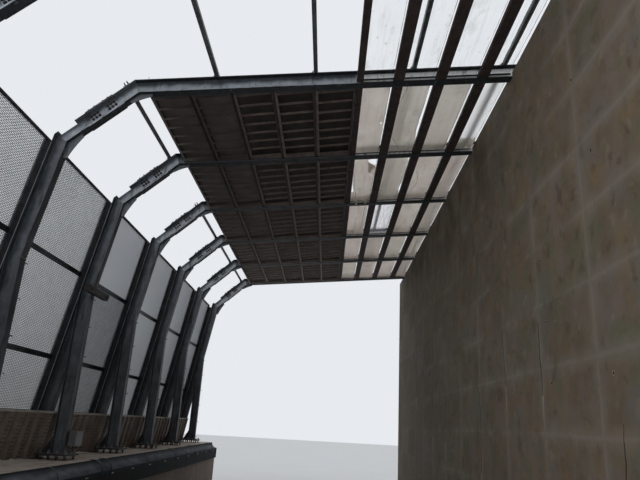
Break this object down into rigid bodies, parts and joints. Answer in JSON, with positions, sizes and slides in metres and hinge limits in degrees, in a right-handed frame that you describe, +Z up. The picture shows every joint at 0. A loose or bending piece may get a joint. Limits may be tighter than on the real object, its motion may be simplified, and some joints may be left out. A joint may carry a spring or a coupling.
{
  "type": "highway noise barrier",
  "caption": "Semi-enclosed roadside noise barrier: bent steel frames on a parapet carry leaning translucent panels and a part-louvred roof across to a tall concrete wall.",
  "frame": {"origin": "on the road surface, under the middle of the whole", "axes": "+X across the road from the parapet to the tall concrete wall, +Y along the road, +Z up"},
  "size_m": [6.616, 14, 6.1318],
  "materials": {
    "wall_concrete": "board-marked cast concrete with pale leached lines along its formwork joints and dark stains",
    "parapet_concrete": "trowelled concrete, dusty on top",
    "coping_sheath": "dull dark blue-grey with scuffs",
    "frame_steel": "weathered grey paint with dark run stains",
    "stud_steel": "dull, rusted",
    "panel_frame_paint": "dark satin paint",
    "frosted_panel": "frosted translucent sheet, finely reeded in the near bays",
    "kick_panel_paint": "brown paint with rows of fine perforations",
    "cap_rail_paint": "pale paint",
    "absorber_paint": "dark brown louvred cassette, dusty slats",
    "grid_bar_paint": "dark brown paint",
    "roof_sheet": "dirty translucent sheet with torn edges",
    "purlin_paint": "grey paint",
    "box_plastic": "light grey, dusty"
  },
  "bodies": {
    "root": {"absorber_roof_bay_2": "absorber_paint", "absorber_roof_bay_3": "absorber_paint", "absorber_roof_bay_4": "absorber_paint", "absorber_roof_bay_5": "absorber_paint", "absorber_roof_bay_6": "absorber_paint", "anchor_studs": "stud_steel", "arms": "frame_steel", "bracket_stub": "frame_steel", "columns": "frame_steel", "concrete_wall": "wall_concrete", "eave_purlin": "purlin_paint", "junction_box": "box_plastic", "kick_cap_rails": "cap_rail_paint", "kick_panels": "kick_panel_paint", "knee_stubs": "frame_steel", "leg_base_plates": "frame_steel", "lower_haunches": "frame_steel", "lower_panel_frames": "panel_frame_paint", "lower_panel_sheets": "frosted_panel", "middle_panel_frames": "panel_frame_paint", "middle_panel_sheets": "frosted_panel", "panel_posts": "panel_frame_paint", "parapet": "parapet_concrete", "parapet_coping": "coping_sheath", "post_base_plates": "frame_steel", "posts": "frame_steel", "raking_legs": "frame_steel", "roof_beams": "frame_steel", "roof_grid_bars": "grid_bar_paint", "roof_purlins": "purlin_paint", "roof_sheets_strip_1": "roof_sheet", "roof_sheets_strip_2": "roof_sheet", "roof_sheets_strip_3": "roof_sheet", "roof_sheets_strip_4": "roof_sheet", "sheet_ledgers": "frame_steel", "splice_plates": "frame_steel", "upper_haunches": "frame_steel", "upper_panel_frames": "panel_frame_paint", "upper_panel_sheets": "frosted_panel"}
  },
  "joints": []
}
